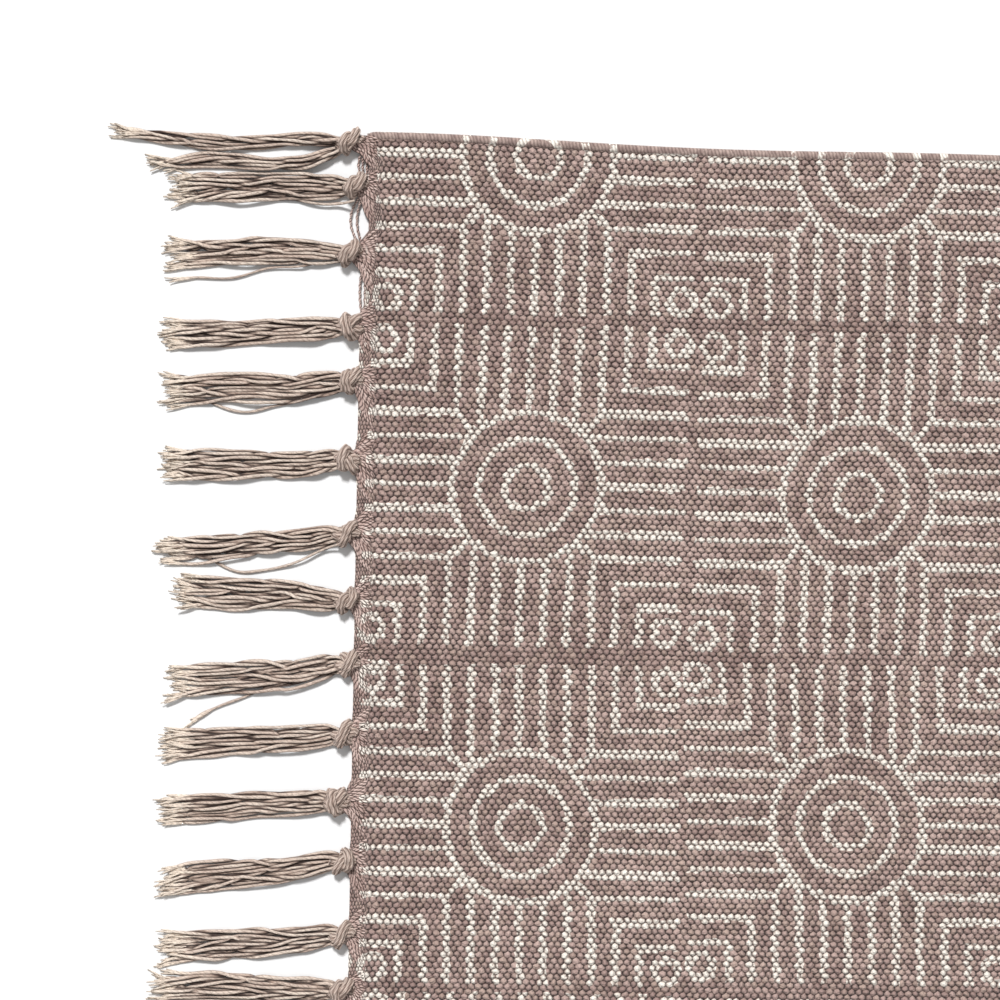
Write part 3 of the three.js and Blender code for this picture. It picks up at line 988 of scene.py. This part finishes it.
def plied_yarn(field):
    """Two-ply cotton yarn, beige to mauve, paler and cleaner towards its cut end."""
    u, v, _ = field.node("UVMap", {"uv_map": "UVMap"}).parts()
    tint, tip, painted_shade_mark = field.node("VertexColor", {"layer_name": "yarn"}).parts()
    # The tip's mark runs from -1 on the cloth, where the ink is, past 0 in the fringe to the cut end
    inside = (tip * -1).ramp(0.0, 1.0)
    place = field.place()
    slack = field.noise(place, 260.0, 1.0, 0.5)
    pitch = 2.5 - inside * 0.8
    ply = abs(((u / pitch - v * 2 + slack * 1.4) * math.pi).sine())
    fibres = field.noise(place, 1500.0, 2.0, 0.65)
    stain = field.noise(place, 160.0, 2.0, 0.6)
    shade = stain * 0.7 + tint * 0.5 - 0.1
    base = shade.ramp(0.0, 1.0).mix(YARN_PALE, YARN_STAINED)
    spun = shade.ramp(0.0, 1.0).mix(YARN_INK, YARN_INK_DEEP)
    # The print runs on over the warps that lean into the knots, and ends before the cloth's edge
    x, y, _ = place.parts()
    bare = printed_lines(field, x * TO_MM, y * TO_MM, fibres)
    bare = bare * (PRINT_END - abs(x) * TO_MM).ramp(0.0, 1.6) * slack.ramp(0.34, 0.52) * 0.85
    spun = bare.mix(spun, CREAM)
    base = inside.mix(base, spun)
    base = (tip.ramp(0.0, 1.3) * 0.9).mix(base, CUT_END)
    # Strands run along the yarn: the noise goes round it once, and slowly along it
    ring = v * (2 * math.pi)
    around = field.vector((ring + math.pi / 2).sine(), ring.sine(), u * 0.1 + tint * 40)
    strands = field.noise(around, 4.2, 2.0, 0.6)
    # Painted shade in the furrows between the two plies, stronger on the inked warps
    painted_furrow_share = (1 - ply + inside * 0.12).ramp(0.35, 1.0)
    base = (painted_furrow_share * (0.26 + inside * 0.64)).mix(base, PAINTED_FURROW_SHADE)
    worn = 1 - inside
    base = (((0.52 - strands).most(0) * 2.6).least(0.6) * worn).mix(base, STRAND_DARK)
    base = (((strands - 0.52).most(0) * 2.8).least(0.6) * worn).mix(base, STRAND_PALE)
    # Painted shade on each yarn's sides, between neighbouring yarns and in the knots' grooves
    base = (painted_shade_mark.ramp(0.02, 0.4) * 0.45).mix(base, PAINTED_GROOVE_SHADE_EDGE)
    base = (painted_shade_mark.ramp(0.1, 0.95) * 0.96).mix(base, PAINTED_GROOVE_SHADE)
    worn = worn * (1 - tip.most(0).least(1) * 0.6)
    base = (((0.5 - fibres).most(0) * 1.5).least(0.5) * worn).mix(base, FIBRE_DARK)
    relief = ply.root() * (0.5 + inside * 0.5) + (strands * 0.9 + fibres * 0.7) * worn
    return base, relief, 0.5 * MM


warp_yarn = finish("plied warp yarn", plied_yarn, 0.95)

for n, row in enumerate(laid):
    loose = hanging_yarns(n, row)
    loose.insert(0, tied_knot(row["turned"]))
    for part in loose:
        moved = np.array([-(CLOTH_LENGTH / 2 + row["out"] - KNOT_TIGHT), row["across"], 0])
        if part is loose[0]:
            moved = moved + [0, 0, KNOT_HEIGHT / 2]
        part["points"] = part["points"] + moved
        part["points"][:, 2] = np.maximum(part["points"][:, 2], 0)
    loose.append(gathered_warps(n, row))
    for end_name, turn in (("left", 1), ("right", -1)):
        turned = [dict(part, points=part["points"] * np.array([turn, turn, 1])) for part in loose]
        tassel = join_mesh(f"warp_tassel_{end_name}_{n + 1:02d}", turned, [warp_yarn])
        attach(tassel, "root")
        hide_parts(f"tassel_{end_name}_{n + 1:02d}")

# The last picks of the headings have worked loose: thin two-ply weft threads loop across the bays
# from one knot to the next. Each row is a bay, with how far each of its threads stands out.
LOOSE_PICKS = [
    [2.2, 0.7, -0.9], [4.8, 2.4], [0.9, -1.0], [-0.8], [-0.9, -1.2], [-0.6], [-0.9],
    [0.0, -1.0], [-0.8], [-0.7, -1.1], [-0.9], [0.2, -0.9], [-0.8],
]
PICK_RADIUS = 0.55 * MM
PICK_STEPS = 56
PICK_TWIST = 2 * math.pi / (2.6 * MM) / 2
for end_name, turn in (("left", 1), ("right", -1)):
    lines = []
    for n in range(TASSEL_COUNT - 1):
        near, far = knot_places[n] - 1.8 * MM, knot_places[n + 1] + 1.8 * MM
        for bulge in LOOSE_PICKS[n % len(LOOSE_PICKS)]:
            t = np.linspace(0, 1, PICK_STEPS)
            bow = np.sin(math.pi * t) ** 0.75
            x = -CLOTH_LENGTH / 2 + 0.9 * MM - (bulge + 0.9) * MM * bow
            y = near + (far - near) * t
            z = 1.9 * MM - 0.9 * MM * bow
            lines.append(np.column_stack([x, y, z]))
    lines = np.array(lines)
    radii = np.full(lines.shape[:2], PICK_RADIUS)
    part = lay_yarns(lines, radii, YARN_SIDES, squeeze=0.6, twist=PICK_TWIST)
    part = yarn_marks(part, random.random(len(lines)), np.full(lines.shape[:2], -1.0))
    part["points"] = part["points"] * np.array([turn, turn, 1])
    picks = join_mesh(f"loose_picks_{end_name}", [part], [warp_yarn])
    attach(picks, "root")

# A plain white studio floor under the rug, a hair below its yarns, so that the two surfaces never
# meet. It is painted board, matt and evenly pale.
FLOOR_DROP = 0.2 * MM
bpy.ops.object.select_all(action="DESELECT")
bpy.ops.mesh.primitive_plane_add(size=8.0, location=(0, 0, 0))
floor = bpy.context.active_object
floor.name = "studio_floor"
for vertex in floor.data.vertices:
    vertex.co.z = -FLOOR_DROP
paint = bpy.data.materials.new("floor paint")
paint.use_nodes = True
paint_shader = paint.node_tree.nodes["Principled BSDF"]
paint_shader.inputs["Base Color"].default_value = (0.86, 0.86, 0.86, 1)
paint_shader.inputs["Roughness"].default_value = 0.9
paint_shader.inputs["Specular IOR Level"].default_value = 0.2
floor.data.materials.append(paint)

# The light is a soft even sky and one broad key light, which stands high on the photograph's upper
# side and throws the short shadows under the fringe.
sky = bpy.data.worlds.new("studio sky")
bpy.context.scene.world = sky
sky.use_nodes = True
sky.node_tree.nodes["Background"].inputs["Color"].default_value = (1, 1, 1, 1)
sky.node_tree.nodes["Background"].inputs["Strength"].default_value = 0.42

lamp = bpy.data.lights.new("key light", "SUN")
lamp.energy = 3.25
lamp.angle = math.radians(10)
key = bpy.data.objects.new("key_light", lamp)
key.rotation_euler = Vector((-0.3, 1.0, 1.5)).to_track_quat("Z", "Y").to_euler()
bpy.context.scene.collection.objects.link(key)
bpy.context.scene.view_settings.view_transform = "Standard"

# The camera looks straight down on the rug's corner, turned a little, as in the photograph. Its
# height above the cloth's face puts 370 mm of rug and floor in the frame.
eye = bpy.data.cameras.new("eye")
eye.lens = 85
eye.sensor_width = 36
eye.clip_start = 0.01
eye.clip_end = 20
camera = bpy.data.objects.new("camera", eye)
camera.location = (-0.3975, 0.1642, 0.8746 + CLOTH_THICKNESS)
camera.rotation_euler = (0, 0, math.radians(1.0))
bpy.context.scene.collection.objects.link(camera)
bpy.context.scene.camera = camera
